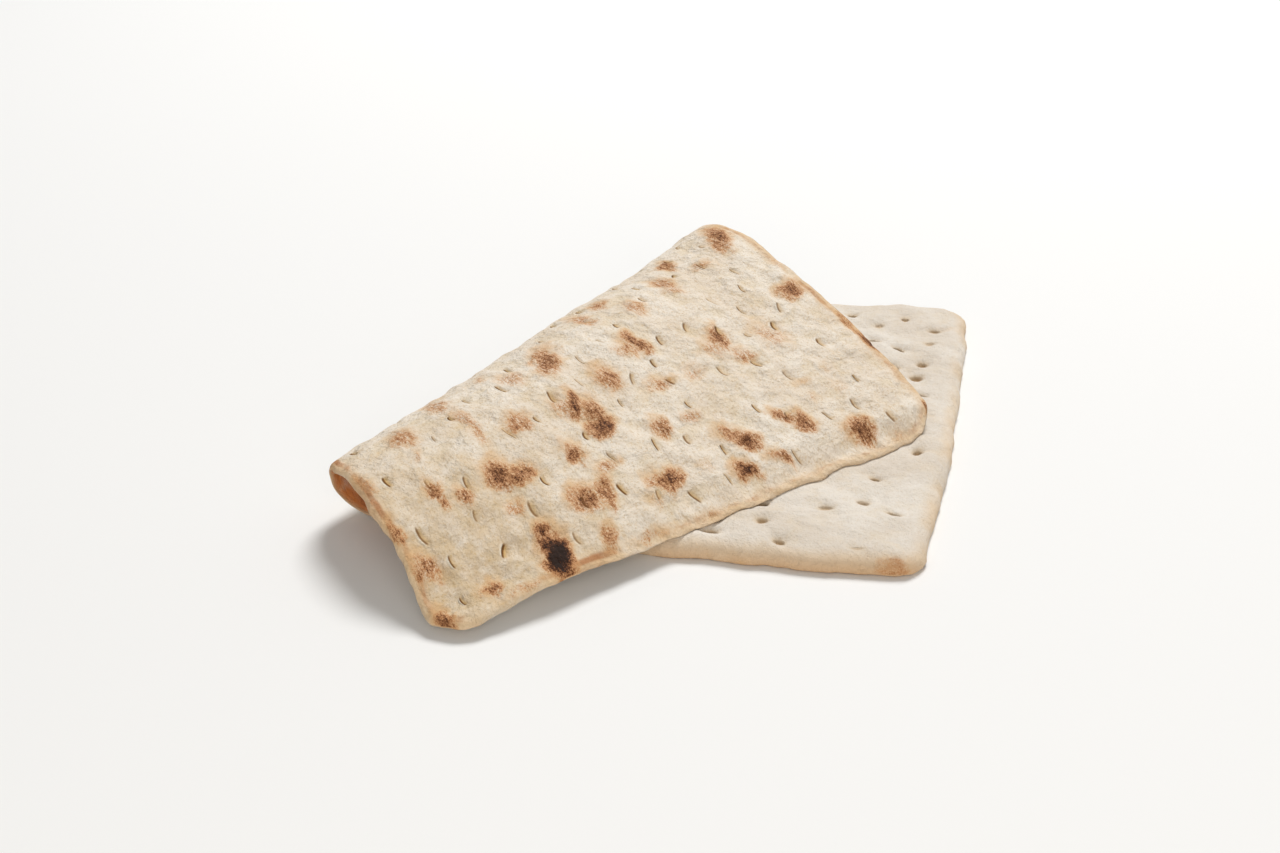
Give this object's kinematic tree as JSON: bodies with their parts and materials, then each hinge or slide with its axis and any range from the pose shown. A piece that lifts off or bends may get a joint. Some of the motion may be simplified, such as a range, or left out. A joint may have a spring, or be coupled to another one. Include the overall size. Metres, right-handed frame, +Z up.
{
  "type": "sourdough flatbread",
  "caption": "Soft rectangular sourdough flatbread, docked and char-spotted, lying flat with its left part folded loosely over on itself.",
  "frame": {"origin": "middle of the bounding box's footprint, on the table the bread lies on", "axes": "+X along the sheet's front edge to the right, +Y towards the sheet's back edge, +Z up"},
  "size_m": [0.2044, 0.2622, 0.0465],
  "materials": {
    "crust": "matte, floury, baked"
  },
  "bodies": {
    "root": {"flatbread": "crust"}
  },
  "joints": []
}
